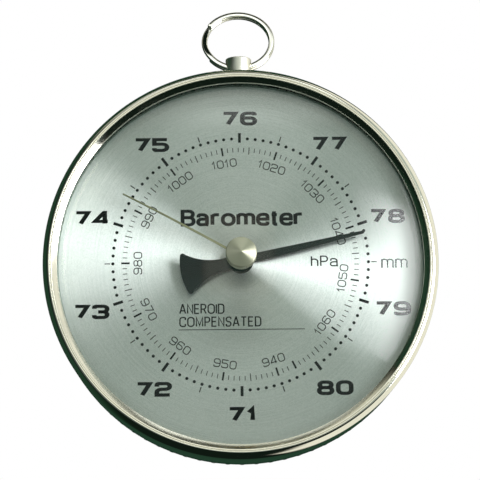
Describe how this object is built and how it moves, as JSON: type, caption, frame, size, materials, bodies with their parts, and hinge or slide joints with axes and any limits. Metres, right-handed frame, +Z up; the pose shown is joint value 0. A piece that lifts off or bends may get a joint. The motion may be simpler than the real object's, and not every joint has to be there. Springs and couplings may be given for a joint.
{
  "type": "aneroid barometer",
  "caption": "Round wall-hanging aneroid barometer: metal case, domed crystal, silvered dial, pointer and set hand over a capsule, rocking shaft, sector and pinion movement.",
  "frame": {"origin": "centre of the flat back face of the rear cover, on the case's axis", "axes": "+Z up when it hangs by its ring, the dial faces -Y, +Y is out of the back"},
  "size_m": [0.13, 0.0449, 0.1574],
  "materials": {
    "nickel_case": "polished nickel plate",
    "cover_black": "moulded, satin",
    "crystal_clear": "clear, polished",
    "rubber_black": "matt",
    "spacer_silver": "satin anodised",
    "dial_silver": "circular brushed silver",
    "knob_nickel": "fine turned nickel",
    "ring_chrome": "polished nickel plate",
    "brass_plate": "fine grained, lacquered",
    "brass_hand": "drawn, satin",
    "pointer_black": "satin black lacquer",
    "blued_steel": "polished steel",
    "spring_steel": "blued spring steel",
    "capsule_copper": "pressed beryllium copper"
  },
  "bodies": {
    "case": {"case_drum": "nickel_case", "bezel_ring": "nickel_case", "rear_cover": "cover_black", "crystal": "crystal_clear", "crystal_gasket": "rubber_black", "spacer_ring": "spacer_silver", "dial_plate": "dial_silver", "hanger_stud": "knob_nickel", "hanger_collar": "nickel_case", "hanger_saddle": "blued_steel", "hanger_nut": "blued_steel", "base_plate": "brass_plate", "movement_plate": "brass_plate", "movement_pillars": "brass_plate", "dial_pillars": "brass_plate", "base_screws": "blued_steel", "movement_screws": "blued_steel", "dial_pillar_screws": "blued_steel", "bridge": "brass_plate", "bridge_screws": "blued_steel", "arbor_bushes": "capsule_copper", "capsule_base": "capsule_copper", "capsule_seat": "brass_plate", "adjusting_lock_nut": "brass_plate", "shaft_ears": "brass_plate", "ear_screws": "blued_steel", "hairspring_stud": "brass_plate"},
    "hanging_ring": {"split_ring": "ring_chrome"},
    "sector_group": {"sector_gear": "brass_plate", "sector_arbor": "blued_steel"},
    "pointer_group": {"pointer": "pointer_black", "pointer_boss": "brass_plate", "pointer_arbor": "blued_steel", "pinion": "blued_steel", "hairspring_collet": "brass_plate", "hairspring": "spring_steel"},
    "rocking_group": {"rocking_shaft": "blued_steel", "contact_arm": "brass_plate", "drive_arm": "blued_steel", "counterweight": "brass_plate"},
    "capsule_top": {"capsule_diaphragm": "capsule_copper", "capsule_post": "blued_steel"},
    "set_hand_group": {"set_hand": "brass_hand", "set_hand_bush": "brass_plate", "friction_washer": "blued_steel", "knob_shaft": "brass_plate", "knob_washer": "ring_chrome", "knob": "knob_nickel"},
    "adjuster": {"adjusting_screw": "blued_steel"}
  },
  "joints": [
    {"name": "ring_swing", "type": "hinge", "parent": "case", "child": "hanging_ring", "pos_m": [0, -0.014, 0.0694], "axis": [-1, 0, 0], "range_deg": [-117, 76]},
    {"name": "sector_turn", "type": "hinge", "parent": "case", "child": "sector_group", "pos_m": [0.02323, -0.0192, -0.0028], "axis": [0, 1, 0], "range_deg": [-5.58, 21.42]},
    {"name": "pointer_turn", "type": "hinge", "parent": "case", "child": "pointer_group", "pos_m": [0, -0.0192, 0], "axis": [0, 1, 0], "range_deg": [-257, 67], "deforming": ["hairspring"]},
    {"name": "shaft_rock", "type": "hinge", "parent": "case", "child": "rocking_group", "pos_m": [0, -0.0136, -0.0028], "axis": [1, 0, 0], "range_deg": [-2.54, 9.74]},
    {"name": "capsule_flex", "type": "slide", "parent": "case", "child": "capsule_top", "axis": [0, -1, 0], "range_m": [-0.000124, 0.0004757], "deforming": ["capsule_diaphragm"]},
    {"name": "set_hand_turn", "type": "hinge", "parent": "case", "child": "set_hand_group", "pos_m": [0, -0.0383, 0], "axis": [0, 1, 0], "continuous": true},
    {"name": "adjuster_turn", "type": "hinge", "parent": "case", "child": "adjuster", "pos_m": [-0.008, -0.004, 0], "axis": [0, 1, 0], "range_deg": [-360, 360]}
  ],
  "couplings": [
    {"joint": "shaft_rock", "follows": "capsule_flex", "rad_per_m": 357.14},
    {"joint": "sector_turn", "follows": "capsule_flex", "rad_per_m": 785.71},
    {"joint": "pointer_turn", "follows": "capsule_flex", "rad_per_m": -9428.6}
  ]
}
